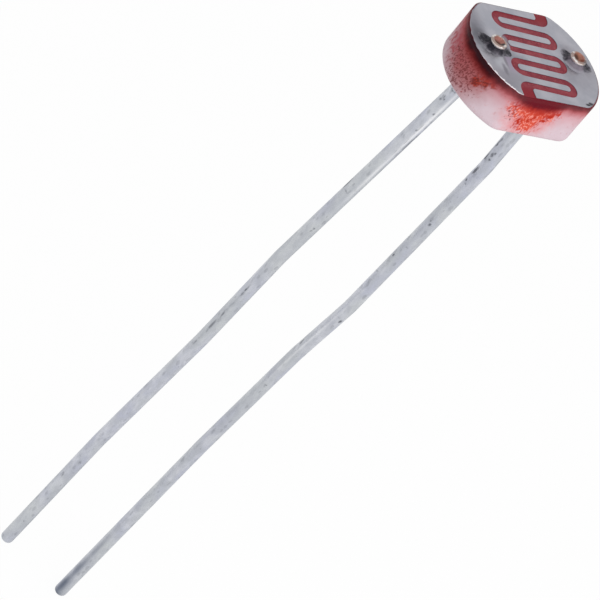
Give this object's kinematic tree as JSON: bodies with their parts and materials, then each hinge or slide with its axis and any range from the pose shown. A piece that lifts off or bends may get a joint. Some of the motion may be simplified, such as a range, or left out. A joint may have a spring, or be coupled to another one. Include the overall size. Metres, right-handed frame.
{
  "type": "photoresistor",
  "caption": "Light-dependent resistor: flatted ceramic disc with a meandering photoconductor track between comb electrodes, with long bent wire leads.",
  "frame": {"origin": "centre of the ceramic's underside, midway between the leads, where the body seats over a board", "axes": "+Z out of the light-sensing face, +X from the left lead to the right lead, +Y towards the far flat, to which the leads lean"},
  "size_m": [0.005, 0.0055, 0.0332],
  "materials": {
    "ceramic": "fired ceramic, tinted pink, with red dust below the rim and a thin clear lacquer",
    "photoconductor": "red-brown fired film under clear lacquer",
    "electrode_metal": "satin metal film",
    "tinned_wire": "satin tinned copper-cored wire",
    "contact_paste": "dark conductive paste"
  },
  "bodies": {
    "root": {"ceramic_base": "ceramic", "photoconductor_layer": "photoconductor", "electrode_left": "electrode_metal", "electrode_right": "electrode_metal", "lead_left": "tinned_wire", "lead_right": "tinned_wire", "contact_paste_left": "contact_paste", "contact_paste_right": "contact_paste"}
  },
  "joints": []
}
